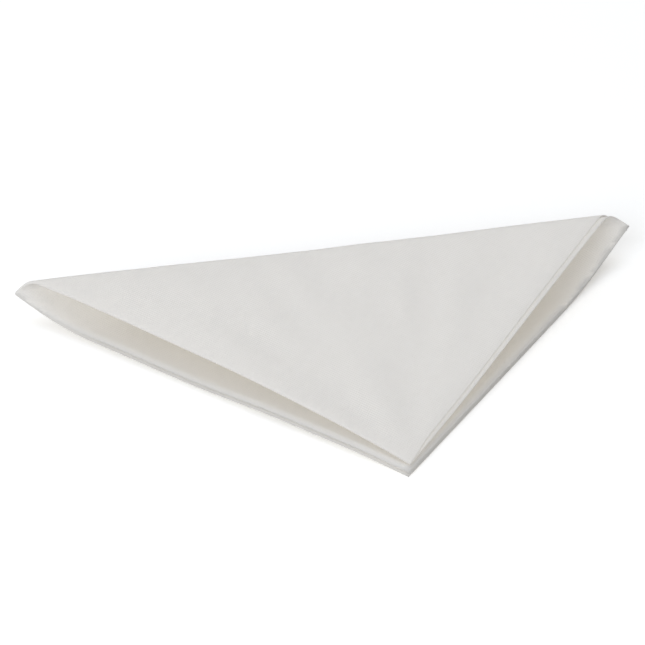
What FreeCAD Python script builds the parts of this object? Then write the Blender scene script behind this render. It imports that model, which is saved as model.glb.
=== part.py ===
import FreeCAD, Part

import math
import os

# A square paper napkin. The open sheet is folded in half and in half again, and the packet
# of four layers is bent over its diagonal, loosely, with no crease. Lengths are in mm,
# angles in degrees.
packet_side = 200.0
paper = 0.25
slit = 0.1

# The bend is part of a cone. Its straight lines meet beyond the left corner, so it is tight
# at the left end and open at the right end. The front right edge curls up to meet it.
apex_distance = 540.0
right_radius = 5.5
curl_run = 60.0
curl_slope = 42.0
tip_gap = 0.5

layers = 4
curl_sections = 8
turn_sections = 17

pitch = paper + slit
packet = layers * paper + (layers - 1) * slit
hairpin = 2 * paper + slit
root2 = math.sqrt(2)
quarter_turn = math.pi / 2
finest_step = 1e-9
diagonal = packet_side * root2
far_reach = apex_distance + diagonal
curl_start = math.atan2(-curl_run / root2, far_reach - curl_run / root2)
corner_angle = math.atan2(diagonal / 2, apex_distance + diagonal / 2)
corner_distance = math.hypot(diagonal / 2, apex_distance + diagonal / 2)


class SheetFrame:
    """The sheet's own directions at one straight line of the bend: along the line, across it
    in the sheet, and the sheet's normal. The line is named by its angle from the diagonal on
    the flat packet, and all lines start at the apex, which is the origin here."""

    def __init__(self, angle, along, across, normal):
        self.angle = angle
        self.along = along
        self.across = across
        self.normal = normal

    def bent_on(self, step, curvature):
        """The directions after a step round a cone of this curvature at unit distance."""
        axis = self.normal + self.along * curvature
        turn = FreeCAD.Rotation(axis, math.degrees(step * axis.Length))
        return SheetFrame(
            self.angle + step,
            turn.multVec(self.along),
            turn.multVec(self.across),
            turn.multVec(self.normal),
        )

    def point(self, distance, angle, height):
        """A place on the flat sheet that holds this line, lifted off it by height."""
        off = angle - self.angle
        in_sheet = self.along * math.cos(off) + self.across * math.sin(off)
        return in_sheet * distance + self.normal * height

    def placement(self, angle):
        """Puts a drawing of the flat sheet, with x along the line at this angle, in its place."""
        x_axis = self.point(1, angle, 0)
        y_axis = self.normal.cross(x_axis)
        return FreeCAD.Placement(FreeCAD.Matrix(
            x_axis.x, y_axis.x, self.normal.x, 0,
            x_axis.y, y_axis.y, self.normal.y, 0,
            x_axis.z, y_axis.z, self.normal.z, 0,
            0, 0, 0, 1,
        ))


def left_side_at(angle, inset):
    """Distance along a line of the bend to a point inset from a side of the left corner."""
    return (apex_distance + root2 * inset) / (math.cos(angle) - abs(math.sin(angle)))


def right_side_at(angle, inset):
    """Distance along a line of the bend to a point inset from a side of the right corner."""
    return (far_reach - root2 * inset) / (math.cos(angle) + abs(math.sin(angle)))


def angle_of_turn(corner, curvature):
    """How far the sheet turns over before the closed corner comes down to its gap."""
    low = quarter_turn / curvature
    high = (2 * quarter_turn + math.radians(curl_slope)) / curvature
    while high - low > finest_step:
        middle = (low + high) / 2
        tip = corner.bent_on(middle, curvature).point(corner_distance, corner_angle, packet)
        if tip.z > packet + tip_gap:
            low = middle
        else:
            high = middle
    return high


def flat_layer(start, height):
    """One layer of the lower half where it lies flat, as far as the line where it curls."""
    corners = [
        start.point(left_side_at(start.angle, 0), start.angle, height),
        start.point(corner_distance, -corner_angle, height),
        start.point(right_side_at(start.angle, 0), start.angle, height),
    ]
    face = Part.Face(Part.makePolygon(corners + corners[:1]))
    return face.extrude(start.normal * paper)


def curled_layer(start, step, curvature, height):
    """One layer of the curl, up to the diagonal. The paper's edges lie open at both ends."""
    wires = []
    for k in range(curl_sections):
        frame = start.bent_on(step * k / (curl_sections - 1), curvature)
        near = left_side_at(frame.angle, 0)
        far = right_side_at(frame.angle, 0)
        corners = [
            frame.point(near, frame.angle, height),
            frame.point(far, frame.angle, height),
            frame.point(far, frame.angle, height + paper),
            frame.point(near, frame.angle, height + paper),
        ]
        wires.append(Part.makePolygon(corners + corners[:1]))
    return Part.makeLoft(wires, True, True)


def fold_end(side_at, angle, inset, start_z, end_z):
    """A fold's round end where the section runs through it at a slant. The inset is that of
    its centre from the side of the packet."""
    middle_z = (start_z + end_z) / 2
    centre_x = side_at(angle, inset)
    tip_x = side_at(angle, inset - abs(end_z - start_z) / 2)
    centre = FreeCAD.Vector(centre_x, 0, middle_z)
    tip = FreeCAD.Vector(tip_x, 0, middle_z)
    curve = Part.Ellipse(tip, FreeCAD.Vector(centre_x, 0, end_z), centre)
    return Part.ArcOfEllipse(curve, 3 * quarter_turn, 5 * quarter_turn).toShape()


def section_wire(frame, levels):
    """A closed outline through the packet at one line of the turn: four runs from side to
    side, joined by two hairpins at the right side and by two folds, one in the other, at
    the left side."""
    angle = frame.angle
    left = left_side_at(angle, packet / 2)
    right = right_side_at(angle, hairpin / 2)

    def run(start_x, end_x, z):
        return Part.makeLine(FreeCAD.Vector(start_x, 0, z), FreeCAD.Vector(end_x, 0, z))

    wire = Part.Wire([
        run(left, right, levels[0]),
        fold_end(right_side_at, angle, hairpin / 2, levels[0], levels[1]),
        run(right, left, levels[1]),
        fold_end(left_side_at, angle, packet / 2, levels[1], levels[2]),
        run(left, right, levels[2]),
        fold_end(right_side_at, angle, hairpin / 2, levels[2], levels[3]),
        run(right, left, levels[3]),
        fold_end(left_side_at, angle, packet / 2, levels[3], levels[0]),
    ])
    wire.Placement = frame.placement(angle)
    return wire


def turn(corner, step, curvature):
    """The turn over the top, where every layer runs into the next round a fold, so that a
    section through it is one closed band of paper."""
    frames = [
        corner.bent_on(step * k / (turn_sections - 1), curvature)
        for k in range(turn_sections)
    ]
    outer_levels = (0, hairpin, packet - hairpin, packet)
    inner_levels = (paper, pitch, packet - pitch, packet - paper)
    outside, inside = (
        Part.makeLoft([section_wire(frame, levels) for frame in frames], True, True)
        for levels in (outer_levels, inner_levels)
    )
    return outside.cut(inside)


def closed_quarter(reach):
    """The closed corner of the flat packet: the first fold's hairpin, carried along its own
    side and then turned back over the second fold. The corner is at the origin, the first
    fold lies along x and the second along y."""
    radius = hairpin / 2
    half_slit = slit / 2

    def at(y, z):
        return FreeCAD.Vector(packet / 2, y, z)

    outer = Part.Arc(at(radius, 0), at(0, radius), at(radius, hairpin)).toShape()
    inner = Part.Arc(at(radius, paper), at(radius - half_slit, radius), at(radius, pitch)).toShape()
    edges = [
        outer,
        inner,
        Part.makeLine(at(reach, 0), at(radius, 0)),
        Part.makeLine(at(radius, hairpin), at(reach, hairpin)),
        Part.makeLine(at(radius, paper), at(reach, paper)),
        Part.makeLine(at(reach, pitch), at(radius, pitch)),
        Part.makeLine(at(reach, 0), at(reach, paper)),
        Part.makeLine(at(reach, pitch), at(reach, hairpin)),
    ]
    profile = Part.Face(Part.Wire(Part.__sortEdges__(edges)))
    axis_point = at(0, packet / 2)
    axis = FreeCAD.Vector(0, 1, 0)
    run = FreeCAD.Vector(reach, 0, 0)
    turned_profile = profile.copy()
    turned_profile.rotate(axis_point, axis, 180)
    wrap = profile.revolve(axis_point, axis, 180)
    return profile.extrude(run).fuse([wrap, turned_profile.extrude(run)])


def flap(start):
    """The upper half: a flat packet, cut off at the line where the turn ends."""
    quarter = closed_quarter(1.2 * packet_side)
    quarter.Placement = FreeCAD.Placement(
        FreeCAD.Vector(apex_distance + diagonal / 2, diagonal / 2, 0),
        FreeCAD.Rotation(FreeCAD.Vector(0, 0, 1), -135),
    )
    past_line = Part.makeBox(2 * far_reach, far_reach, 2 * packet, FreeCAD.Vector(0, 0, -packet / 2))
    past_line.rotate(FreeCAD.Vector(), FreeCAD.Vector(0, 0, 1), math.degrees(start.angle))
    upper = quarter.common(past_line)
    upper.Placement = start.placement(0).multiply(upper.Placement)
    return upper


def folded_napkin():
    """The whole sheet, one piece of paper from the loose corners to the closed one."""
    along = FreeCAD.Vector(math.cos(curl_start), math.sin(curl_start), 0)
    normal = FreeCAD.Vector(0, 0, 1)
    start = SheetFrame(curl_start, along, normal.cross(along), normal)
    curl_curvature = math.radians(curl_slope) / -curl_start
    corner = start.bent_on(-curl_start, curl_curvature)
    turn_curvature = far_reach / right_radius
    step = angle_of_turn(corner, turn_curvature)

    paper_pieces = [flap(corner.bent_on(step, turn_curvature))]
    for layer in range(layers):
        height = layer * pitch
        paper_pieces.append(flat_layer(start, height))
        paper_pieces.append(curled_layer(start, -curl_start, curl_curvature, height))
    napkin = turn(corner, step, turn_curvature).multiFuse(paper_pieces)
    middle = napkin.BoundBox.Center
    napkin.translate(FreeCAD.Vector(-middle.x, -middle.y, 0))
    return napkin


napkin = folded_napkin()
print("folded napkin: solids", len(napkin.Solids), "valid", napkin.isValid())
print("size in mm:", napkin.BoundBox, "volume", round(napkin.Volume))
os.makedirs("parts", exist_ok=True)
napkin.exportStep("parts/folded_napkin.step")
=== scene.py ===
import math
import bpy
import bmesh
from mathutils import Matrix, Vector, noise


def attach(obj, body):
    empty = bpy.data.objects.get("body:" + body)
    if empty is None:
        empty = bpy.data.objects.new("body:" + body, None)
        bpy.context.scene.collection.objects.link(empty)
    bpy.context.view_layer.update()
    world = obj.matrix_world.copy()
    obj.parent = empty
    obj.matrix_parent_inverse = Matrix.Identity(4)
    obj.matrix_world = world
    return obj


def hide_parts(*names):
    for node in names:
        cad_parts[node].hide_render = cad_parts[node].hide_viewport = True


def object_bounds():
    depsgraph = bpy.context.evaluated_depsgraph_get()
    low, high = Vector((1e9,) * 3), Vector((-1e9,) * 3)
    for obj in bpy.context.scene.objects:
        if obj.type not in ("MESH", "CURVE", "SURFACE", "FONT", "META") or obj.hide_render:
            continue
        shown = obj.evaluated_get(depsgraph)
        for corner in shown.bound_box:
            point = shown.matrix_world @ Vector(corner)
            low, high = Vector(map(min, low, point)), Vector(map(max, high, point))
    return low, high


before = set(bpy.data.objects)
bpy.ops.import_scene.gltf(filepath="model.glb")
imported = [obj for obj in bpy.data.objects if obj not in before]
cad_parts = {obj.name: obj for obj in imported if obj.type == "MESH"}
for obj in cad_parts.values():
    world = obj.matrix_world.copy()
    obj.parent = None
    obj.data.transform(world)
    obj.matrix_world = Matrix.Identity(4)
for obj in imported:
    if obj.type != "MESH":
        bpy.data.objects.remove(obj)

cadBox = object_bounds()
mm = 0.001
print("frame loaded")

# What a user would change of the napkin's shape, in mm. On the open sheet s and t run from
# its middle. On the folded packet u and v run from its two closed sides, so that 0, 0 is
# the closed corner. The flap is the half that is bent over the diagonal, and its tip is
# that corner.
shape = {
    # the open sheet and its two folds
    "side": 400.0,            # the open square
    "paperThickness": 0.22,
    "layerPitch": 0.42,       # middle of one layer to the middle of the next
    "gridStep": 4.0,
    "foldSegments": 6,        # round each folded edge
    "foldSnap": 0.001,        # a line round a fold this near a grid point goes through it
    "bendSnap": 0.5,          # and so does a line of the bend this near
    "weld": 0.0001,
    # the loose bend over the diagonal, a cone whose lines meet beyond the left corner
    "apexDistance": 540.0,
    "rightRadius": 5.5,       # at the right corner, and less towards the left one
    "curlRun": 60.0,          # from the right corner along its side to the start of the curl
    "curlSlope": 42.0,        # degrees, at the diagonal
    "tipGap": 0.25,           # between the flap's tip and the loose layers
    "turnLines": 20,
    "curlLines": 12,
    "finestTurn": 1e-9,       # radians, where the search for the flap's slope stops
    # how handling parts the layers
    "heldSide": 60.0,         # they stay together this far from a closed side
    "looseRun": 140.0,        # and are wholly loose this much further on
    "layerSpread": 0.35,      # loose layers part from each other towards the open edges
    "layerStagger": 0.9,      # and do not end at quite the same place
    "staggerU": (2.1, 0.6),   # radians from each layer to the next, and at the first one
    "staggerV": (1.7, 2.2),
    "foldStep": 1.3,          # the flap's lower pair of folds stands out past the upper one
    "foldSkew": 0.9,          # and more so at the far end
    "stepFrom": 20.0,         # but comes back to it at the closed corner
    "stepReach": 150.0,       # how far into the flap this can be felt
    # the flap
    "flapFrom": 25.0,         # its own shape comes in over this run past the diagonal
    "flapSlide": 3.5,         # its tip has slid on towards the loose tip
    "flapBow": 5.0,           # its left edge stands up in the middle
    "bowSkew": 0.75,          # under 1 puts the top of the bow nearer the flap's tip
    "bowRound": 1.2,          # over 1 makes the bow narrower
    "bowAtEdge": 0.65,        # share of the bow that is only near the edge
    "bowEdgeReach": 70.0,
    "bowReach": 160.0,
    "tipLift": 1.5,           # the loose layers under the flap's tip hold it up
    "tipReach": 60.0,
    "fanOffset": 1.0,         # its creases meet this far outside both sides of the tip
    "creaseDepth": 0.7,       # soft creases that fan back from the tip
    "creaseRate": 9.0,        # radians of their wave for each radian round the tip
    "creaseFrom": 55.0,
    "creaseReach": 80.0,
    "streakDepth": 0.75,      # and finer, broken ones further back
    "streakLength": 45.0,
    "streaksPerRadian": 8.0,
    "streakSeed": 5.0,
    "streakFrom": 45.0,
    "streakRise": 55.0,       # runs over which they come and go
    "streakFall": 80.0,
    "streakReach": 190.0,
    # the lower half
    "cornerLift": 2.5,        # the left corner stands off the floor
    "cornerReach": 148.0,
    "edgeLift": 1.6,          # and so does the loose left edge, near its tip
    "edgePastBend": 30.0,
    "edgeBand": 50.0,
    "edgeFrom": 90.0,
    "edgeRise": 50.0,
    "edgeTo": 205.0,
    "edgeFall": 35.0,
    # all of it
    "wave": 0.35,
    "waveLength": 55.0,
    "ripple": 0.10,
    "rippleLength": 16.0,
    "rippleSeed": 60.0,
}

quarter = shape["side"] / 2
diagonal = quarter * math.sqrt(2)
slant = math.sqrt(0.5)  # what a step of 1 along the diagonal is along each side
farReach = shape["apexDistance"] + diagonal
middleLayer = 1.5  # of four, counted from 0
hairpinRadius = shape["layerPitch"] / 2
wrapRadius = shape["layerPitch"]
packetRise = middleLayer * shape["layerPitch"] + shape["paperThickness"] / 2
cornerB = Vector((shape["apexDistance"] + diagonal / 2, diagonal / 2))
run = shape["curlRun"] / math.sqrt(2)
curlStart = math.atan2(-run, farReach - run)


def bentOn(frameNow, step, curvature):
    # the sheet's directions (along, across, normal) a step further round a cone
    angle, axes = frameNow
    spin = axes[2] + axes[0] * curvature
    turned = Matrix.Rotation(step * spin.length, 3, spin)
    return angle + step, [turned @ axis for axis in axes]


def placeOnLine(frameNow, distance, angle, height):
    startAngle, axes = frameNow
    off = angle - startAngle
    return (axes[0] * math.cos(off) + axes[1] * math.sin(off)) * distance + axes[2] * height


def makeBend():
    # frames where the bend changes: lying, start of the turn at the diagonal, start of the flap
    curlCurvature = math.radians(shape["curlSlope"]) / -curlStart
    turnCurvature = farReach / shape["rightRadius"]
    along = Vector((math.cos(curlStart), math.sin(curlStart), 0))
    up = Vector((0, 0, 1))
    lying = (curlStart, [along, up.cross(along), up])
    atDiagonal = bentOn(lying, -curlStart, curlCurvature)
    # the turn goes on until the flap's tip comes down to its gap over the loose layers
    packet = 2 * packetRise
    low = math.radians(90) / turnCurvature
    high = math.radians(180 + shape["curlSlope"]) / turnCurvature
    tipDistance, tipAngle = cornerB.length, math.atan2(cornerB.y, cornerB.x)
    while high - low > shape["finestTurn"]:
        middle = (low + high) / 2
        tip = placeOnLine(bentOn(atDiagonal, middle, turnCurvature), tipDistance, tipAngle, packet)
        if tip.z > packet + shape["tipGap"]:
            low = middle
        else:
            high = middle
    return lying, atDiagonal, bentOn(atDiagonal, high, turnCurvature), curlCurvature, turnCurvature


lying, atDiagonal, flapStart, curlCurvature, turnCurvature = makeBend()


def frameAt(angle):
    if angle <= curlStart:
        return lying
    if angle <= 0:
        return bentOn(lying, angle - curlStart, curlCurvature)
    if angle <= flapStart[0]:
        return bentOn(atDiagonal, angle, turnCurvature)
    return flapStart


def foldInFour(s, t):
    # gives u, v, the height from the middle of the packet, and how far over the second fold
    # it is, from -1 to 1. The first fold is t = 0, the second s = 0.
    hairpinArc = hairpinRadius * math.pi / 2
    if abs(t) < hairpinArc:
        v = hairpinRadius - hairpinRadius * math.cos(t / hairpinRadius)
        h = hairpinRadius * math.sin(t / hairpinRadius)
    else:
        v = hairpinRadius + abs(t) - hairpinArc
        h = math.copysign(hairpinRadius, t)
    radius = wrapRadius + h
    wrapArc = wrapRadius * math.pi / 2
    centre = wrapRadius + hairpinRadius
    if abs(s) < wrapArc:
        u = centre - radius * math.cos(s / wrapRadius)
        over = math.sin(s / wrapRadius)
    else:
        u = centre + abs(s) - wrapArc
        over = math.copysign(1, s)
    return u, v, -radius * over, over


def smooth(x):
    x = max(0.0, min(1.0, x))
    return x * x * (3 - 2 * x)


def bell(x, reach):
    return math.exp(-(x / reach) ** 2)


def onDrawing(u, v):
    # u, v on the packet to the bend's own flat drawing, apex at the origin
    return cornerB.x + (u - v) * slant, cornerB.y - (u + v) * slant


def handle(u, v, w, over):
    # small shifts of one layer on the flat packet, before it is bent
    layer = middleLayer + w / shape["layerPitch"]
    held = shape["heldSide"]
    looseU = smooth((u - held) / shape["looseRun"])
    looseV = smooth((v - held) / shape["looseRun"])
    loose = max(looseU * smooth(v / held), looseV * smooth(u / held))
    w += layer * shape["layerSpread"] * loose
    rateU, startU = shape["staggerU"]
    rateV, startV = shape["staggerV"]
    u += shape["layerStagger"] * looseU * math.sin(rateU * layer + startU)
    v += shape["layerStagger"] * looseV * math.sin(rateV * layer + startV)
    step = shape["foldStep"] * smooth(u / shape["stepFrom"]) + shape["foldSkew"] * u / quarter
    v += step * smooth((over + 1) / 2) * smooth(1 - v / shape["stepReach"])
    return u, v, w


def settle(u, v):
    # slow waves and fine ripples, the same for all layers so that none cuts another
    slow = Vector((u, v, 0)) / shape["waveLength"]
    fine = Vector((v, u, shape["rippleSeed"])) / shape["rippleLength"]
    return shape["wave"] * noise.noise(slow) + shape["ripple"] * noise.noise(fine)


def riseOfFlap(u, v):
    # the flap bows up along its left edge, and soft creases fan back from its tip
    along = min(1, v / quarter) ** shape["bowSkew"]
    bow = shape["flapBow"] * math.sin(math.pi * along) ** shape["bowRound"]
    atEdge = shape["bowAtEdge"]
    bow *= atEdge * bell(u, shape["bowEdgeReach"]) + (1 - atEdge) * bell(u, shape["bowReach"])
    reach = math.hypot(u, v)
    way = math.atan2(v + shape["fanOffset"], u + shape["fanOffset"])
    crease = bell(reach, shape["creaseReach"]) * math.sin(shape["creaseRate"] * way)
    crease *= smooth(reach / shape["creaseFrom"])
    fan = (shape["streaksPerRadian"] * way, reach / shape["streakLength"], shape["streakSeed"])
    streak = noise.noise(Vector(fan))
    streak *= smooth((reach - shape["streakFrom"]) / shape["streakRise"])
    streak *= smooth((shape["streakReach"] - reach) / shape["streakFall"])
    lift = shape["tipLift"] * smooth(1 - reach / shape["tipReach"])
    return bow + lift + shape["creaseDepth"] * crease + shape["streakDepth"] * streak


def riseOfEdge(u, v, y):
    # the lower half's loose edge, where u runs from its left end to its tip
    onEdge = smooth(-y / shape["edgePastBend"]) * smooth((v - quarter) / shape["edgeBand"] + 1)
    onEdge *= smooth((u - shape["edgeFrom"]) / shape["edgeRise"])
    return shape["edgeLift"] * onEdge * smooth((shape["edgeTo"] - u) / shape["edgeFall"])


def bendOver(s, t):
    u, v, w = handle(*foldInFour(s, t))
    x, y = onDrawing(u, v)
    distance, angle = math.hypot(x, y), math.atan2(y, x)
    point = placeOnLine(frameAt(angle), distance, angle, w + packetRise + settle(u, v))
    fromCorner = (x - shape["apexDistance"]) / shape["cornerReach"]
    point.z += smooth(y / shape["flapFrom"]) * riseOfFlap(u, v)
    point.z += shape["cornerLift"] * smooth(1 - fromCorner)
    point.z += riseOfEdge(u, v, y)
    point.y -= shape["flapSlide"] * smooth(y / (diagonal / 2))
    return point


def cutAlong(bm, point, direction, snap, faces=None):
    # a straight line across the open sheet, or across those of its faces that are asked for
    geom = bm.verts[:] + bm.edges[:] + bm.faces[:]
    if faces is not None:
        kept = [f for f in bm.faces if faces(f.calc_center_median())]
        geom = list({v for f in kept for v in f.verts}) + list({e for f in kept for e in f.edges}) + kept
    normal = Vector((direction[1], -direction[0], 0))
    bmesh.ops.bisect_plane(bm, geom=geom, dist=snap, plane_co=Vector((*point, 0)), plane_no=normal)


def markFolds(bm):
    # lines along the two folds, so that each goes round its edge
    segments = shape["foldSegments"]
    for k in range(-segments // 2, segments // 2 + 1):
        arc = 2 * k / segments * math.pi / 2
        cutAlong(bm, (0, arc * hairpinRadius), (1, 0), shape["foldSnap"])
        cutAlong(bm, (arc * wrapRadius, 0), (0, 1), shape["foldSnap"])
    print("folds marked", len(bm.faces))


def markBend(bm):
    # straight lines of the bend, drawn on each quarter of the open sheet
    curlLines, turnLines = shape["curlLines"], shape["turnLines"]
    angles = [curlStart * (1 - k / curlLines) for k in range(curlLines)]
    angles += [flapStart[0] * k / turnLines for k in range(turnLines + 1)]
    apexS, apexT = -shape["apexDistance"] * slant, farReach * slant
    for signS in (1, -1):
        for signT in (1, -1):
            for angle in angles:
                dx, dy = math.cos(angle), math.sin(angle)
                cutAlong(
                    bm,
                    (signS * apexS, signT * apexT),
                    (signS * (dx - dy) * slant, signT * (-dx - dy) * slant),
                    shape["bendSnap"],
                    lambda c: c.x * signS > 0 and c.y * signT > 0,
                )
    print("bend marked", len(bm.faces))


def makeSheet():
    bm = bmesh.new()
    steps = round(shape["side"] / shape["gridStep"])
    bmesh.ops.create_grid(bm, x_segments=steps, y_segments=steps, size=quarter)
    markFolds(bm)
    markBend(bm)
    bmesh.ops.remove_doubles(bm, verts=bm.verts, dist=shape["weld"])
    uv = bm.loops.layers.uv.new("sheet")
    for face in bm.faces:
        for loop in face.loops:
            loop[uv].uv = (loop.vert.co.x * mm, loop.vert.co.y * mm)
    for vert in bm.verts:
        vert.co = bendOver(vert.co.x, vert.co.y) * mm
    return bm


def linkNew(name, data):
    newObject = bpy.data.objects.new(name, data)
    bpy.context.scene.collection.objects.link(newObject)
    return newObject


def linkMesh(name, bm):
    mesh = bpy.data.meshes.new(name)
    bm.to_mesh(mesh)
    bm.free()
    return linkNew(name, mesh)


def makeNapkin():
    bm = makeSheet()
    xs = [v.co.x for v in bm.verts]
    lowest = min(v.co.z for v in bm.verts)
    shift = Vector((
        (cadBox[0][0] + cadBox[1][0] - min(xs) - max(xs)) / 2,
        cadBox[0][1] + diagonal / 2 * mm,
        shape["paperThickness"] / 2 * mm - lowest,
    ))
    bmesh.ops.translate(bm, verts=bm.verts, vec=shift)
    napkin = linkMesh("paper_napkin", bm)
    polygons = napkin.data.polygons
    polygons.foreach_set("use_smooth", [True] * len(polygons))
    thick = napkin.modifiers.new("paper", "SOLIDIFY")
    thick.thickness = shape["paperThickness"] * mm
    thick.offset = 0
    thick.use_quality_normals = True
    print("napkin folded, faces", len(polygons), "moved", [round(x / mm, 2) for x in shift])
    return napkin


# Uncoated two-ply tissue, pressed between rollers into a fine linen grain: matt, faintly
# warm, and a little light comes through where it is a single layer.
tissue = {
    "colour": "#E9E8E6",
    "fibreColour": "#E3E1DE",
    "throughColour": "#F2EDE6",
    "through": 0.23,            # share of the light that goes on through the paper
    "shadowColour": "#FCFBF9",  # what a thin sheet lets past: its shadow is pale and warm
    "roughness": 0.92,
    "ior": 1.45,
    "specularLevel": 0.2,
    "sheen": 0.05,              # loose fibre ends
    "sheenRoughness": 0.6,
    "grainPitch": 1.1,          # mm, like all lengths here
    "grainDepth": 0.06,
    "grainWander": 1.2,
    "grainDetail": 2.0,
    "grainDetailScale": 0.4,
    "fibreLength": 5.0,
    "fibreDetail": 6.0,
    "fibreRoughness": 0.7,
    "cockleLength": 11.0,
    "cockleDepth": 0.10,
    "cockleDetail": 3.0,
    "cockleRoughness": 0.55,
}
waveRadians = 20  # a wave texture turns through this for each unit of its place


def linear(hexColour):
    parts = [int(hexColour[i:i + 2], 16) / 255 for i in (1, 3, 5)]
    return [c / 12.92 if c <= 0.04045 else ((c + 0.055) / 1.055) ** 2.4 for c in parts] + [1.0]


def addNode(tree, kind, settings=None, inputs=None, links=None):
    node = tree.nodes.new(kind)
    for name, value in (settings or {}).items():
        setattr(node, name, value)
    for name, value in (inputs or {}).items():
        node.inputs[name].default_value = value
    for name, source in (links or {}).items():
        tree.links.new(source, node.inputs[name])
    return node


def newMaterial(name):
    material = bpy.data.materials.new(name)
    material.use_nodes = True
    material.node_tree.nodes.clear()
    return material, material.node_tree


def makeTissue():
    material, tree = newMaterial("embossed_tissue_paper")
    place = addNode(tree, "ShaderNodeUVMap", {"uv_map": "sheet"}).outputs["UV"]
    # linen grain: two sets of fine ridges across each other, in metres on the open sheet
    ridges = {
        "Scale": 1 / (tissue["grainPitch"] * mm) / waveRadians * 2 * math.pi,
        "Distortion": tissue["grainWander"],
        "Detail": tissue["grainDetail"],
        "Detail Scale": tissue["grainDetailScale"],
    }
    warp, weft = (
        addNode(tree, "ShaderNodeTexWave", {"bands_direction": way}, ridges, {"Vector": place})
        for way in ("X", "Y")
    )
    grain = addNode(tree, "ShaderNodeMath", {"operation": "MULTIPLY"}, None, {
        0: warp.outputs["Fac"], 1: weft.outputs["Fac"]})
    # cockles are the slow unevenness that the folding leaves, fibre is a faint cloudiness
    cockle, fibre = (
        addNode(tree, "ShaderNodeTexNoise", None, {
            "Scale": 1 / (tissue[pattern + "Length"] * mm),
            "Detail": tissue[pattern + "Detail"],
            "Roughness": tissue[pattern + "Roughness"],
        }, {"Vector": place})
        for pattern in ("cockle", "fibre")
    )
    tone = addNode(tree, "ShaderNodeMix", {"data_type": "RGBA"}, {
        "A": linear(tissue["fibreColour"]), "B": linear(tissue["colour"])}, {
        "Factor": fibre.outputs["Fac"]})
    slow = addNode(tree, "ShaderNodeBump", None, {"Distance": tissue["cockleDepth"] * mm}, {
        "Height": cockle.outputs["Fac"]})
    fine = addNode(tree, "ShaderNodeBump", None, {"Distance": tissue["grainDepth"] * mm}, {
        "Height": grain.outputs["Value"], "Normal": slow.outputs["Normal"]})
    paper = addNode(tree, "ShaderNodeBsdfPrincipled", None, {
        "Roughness": tissue["roughness"],
        "IOR": tissue["ior"],
        "Specular IOR Level": tissue["specularLevel"],
        "Sheen Weight": tissue["sheen"],
        "Sheen Roughness": tissue["sheenRoughness"],
    }, {"Base Color": tone.outputs["Result"], "Normal": fine.outputs["Normal"]})
    glow = addNode(tree, "ShaderNodeBsdfTranslucent", None, {
        "Color": linear(tissue["throughColour"])}, {"Normal": fine.outputs["Normal"]})
    thin = addNode(tree, "ShaderNodeMixShader", None, {"Fac": tissue["through"]}, {
        1: paper.outputs["BSDF"], 2: glow.outputs["BSDF"]})
    # a lamp's light partly passes the sheet on its way to what lies in its shadow
    ray = addNode(tree, "ShaderNodeLightPath")
    clear = addNode(tree, "ShaderNodeBsdfTransparent", None, {
        "Color": linear(tissue["shadowColour"])})
    sheer = addNode(tree, "ShaderNodeMixShader", None, None, {
        "Fac": ray.outputs["Is Shadow Ray"], 1: thin.outputs["Shader"], 2: clear.outputs["BSDF"]})
    addNode(tree, "ShaderNodeOutputMaterial", None, None, {"Surface": sheer.outputs["Shader"]})
    return material


napkin = makeNapkin()
napkin.data.materials.append(makeTissue())
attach(napkin, "root")
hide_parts("folded_napkin")
print("napkin finished")

# The room: a matt white floor, two soft lamps aimed at the napkin and a pale sky. Lengths
# are in metres.
studio = {
    "floorHalf": 4.0,
    "floorColour": "#F2F1EF",
    "floorRoughness": 0.5,
    "floorGain": 1.24,        # the camera sees the floor this much brighter, so white
    "whiteFrom": 0.35,        # this far from its middle the floor starts to fade to white
    "whiteAt": 0.9,           # and is plain white here
    "lampColour": (0.95, 0.975, 1.0),
    "lampSize": 1.6,
    "key": {"place": (-1.5, -1.35, 1.22), "power": 22.5},
    "top": {"place": (-0.2, 0.6, 2.2), "power": 14.5},
    "skyColour": "#F4F6FA",
    "skyStrength": 0.54,
}
plainWhite = (1, 1, 1, 1)


def backgroundRay(tree):
    # 1 for the rays that show the background: seen, mirrored or looked through
    ray = addNode(tree, "ShaderNodeLightPath")
    seen = addNode(tree, "ShaderNodeMath", {"operation": "MAXIMUM"}, None, {
        0: ray.outputs["Is Camera Ray"], 1: ray.outputs["Is Glossy Ray"]})
    shown = addNode(tree, "ShaderNodeMath", {"operation": "MAXIMUM"}, None, {
        0: seen.outputs["Value"], 1: ray.outputs["Is Transmission Ray"]})
    return shown.outputs["Value"]


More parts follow.
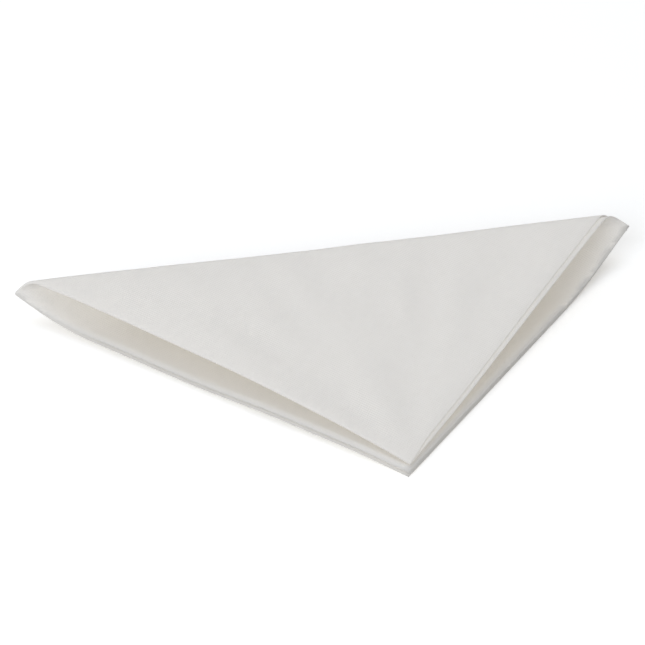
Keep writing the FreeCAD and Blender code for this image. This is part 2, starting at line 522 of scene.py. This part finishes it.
def makeFloorPaint():
    material, tree = newMaterial("matt_white_floor")
    shown = backgroundRay(tree)
    gain = addNode(tree, "ShaderNodeMapRange", None, {
        "To Min": 1.0, "To Max": studio["floorGain"]}, {"Value": shown})
    colour = addNode(tree, "ShaderNodeVectorMath", {"operation": "SCALE"}, {
        "Vector": linear(studio["floorColour"])[:3]}, {"Scale": gain.outputs["Result"]})
    board = addNode(tree, "ShaderNodeBsdfDiffuse", None, {
        "Roughness": studio["floorRoughness"]}, {"Color": colour.outputs["Vector"]})
    # further off the floor fades into the white background
    place = addNode(tree, "ShaderNodeTexCoord").outputs["Object"]
    away = addNode(tree, "ShaderNodeVectorMath", {"operation": "LENGTH"}, None, {"Vector": place})
    far = addNode(tree, "ShaderNodeMapRange", {"interpolation_type": "SMOOTHSTEP"}, {
        "From Min": studio["whiteFrom"], "From Max": studio["whiteAt"]}, {
        "Value": away.outputs["Value"]})
    fade = addNode(tree, "ShaderNodeMath", {"operation": "MULTIPLY"}, None, {
        0: far.outputs["Result"], 1: shown})
    white = addNode(tree, "ShaderNodeEmission", None, {"Color": plainWhite, "Strength": 1.0})
    ground = addNode(tree, "ShaderNodeMixShader", None, None, {
        "Fac": fade.outputs["Value"], 1: board.outputs["BSDF"], 2: white.outputs["Emission"]})
    addNode(tree, "ShaderNodeOutputMaterial", None, None, {"Surface": ground.outputs["Shader"]})
    return material


def makeFloor():
    bm = bmesh.new()
    bmesh.ops.create_grid(bm, x_segments=1, y_segments=1, size=studio["floorHalf"])
    floor = linkMesh("floor", bm)
    floor.data.materials.append(makeFloorPaint())


def makeLamp(name):
    lamp = bpy.data.lights.new(name, "AREA")
    lamp.energy = studio[name]["power"]
    lamp.shape = "DISK"
    lamp.size = studio["lampSize"]
    lamp.color = studio["lampColour"]
    lampObject = linkNew(name, lamp)
    place = Vector(studio[name]["place"])
    lampObject.location = place
    lampObject.rotation_euler = (-place).to_track_quat("-Z", "Y").to_euler()


def makeWorld():
    world = bpy.data.worlds.new("studio")
    bpy.context.scene.world = world
    world.use_nodes = True
    tree = world.node_tree
    tree.nodes.clear()
    sky = addNode(tree, "ShaderNodeBackground", None, {
        "Color": linear(studio["skyColour"]), "Strength": studio["skyStrength"]})
    white = addNode(tree, "ShaderNodeBackground", None, {"Color": plainWhite, "Strength": 1.0})
    mix = addNode(tree, "ShaderNodeMixShader", None, None, {
        "Fac": backgroundRay(tree), 1: sky.outputs["Background"], 2: white.outputs["Background"]})
    addNode(tree, "ShaderNodeOutputWorld", None, None, {"Surface": mix.outputs["Shader"]})


# The camera looks down on the napkin from its loose tip. Its view is the photograph's.
viewpoint = {
    "azimuth": 74.18,         # degrees from +X to the direction of view
    "elevation": 36.12,
    "roll": 3.29,
    "aside": 1.40,            # mm by which the diagonal's middle is right of the view's own
    "above": 18.85,           # and above it
    "distance": 1243.8,
    "focalPixels": 2750.0,
    "framePixels": 645.0,
    "sensorWidth": 36.0,
}


def makeCamera():
    azimuth, elevation, roll = (math.radians(viewpoint[k]) for k in ("azimuth", "elevation", "roll"))
    look = Vector((
        math.cos(elevation) * math.cos(azimuth),
        math.cos(elevation) * math.sin(azimuth),
        -math.sin(elevation),
    ))
    level = look.cross(Vector((0, 0, 1))).normalized()
    upright = level.cross(look)
    right = level * math.cos(roll) + upright * math.sin(roll)
    top = upright * math.cos(roll) - level * math.sin(roll)
    target = Vector((0, cadBox[0][1] + diagonal / 2 * mm, 0))
    back = right * viewpoint["aside"] + top * viewpoint["above"] + look * viewpoint["distance"]
    camera = bpy.data.cameras.new("camera")
    camera.sensor_width = viewpoint["sensorWidth"]
    camera.lens = viewpoint["focalPixels"] / viewpoint["framePixels"] * camera.sensor_width
    cameraObject = linkNew("camera", camera)
    turned = Matrix((right, top, -look)).transposed().to_4x4()
    cameraObject.matrix_world = Matrix.Translation(target - back * mm) @ turned
    bpy.context.scene.camera = cameraObject


makeFloor()
makeLamp("key")
makeLamp("top")
makeWorld()
makeCamera()
bpy.context.scene.view_settings.view_transform = "Standard"
print("studio ready")
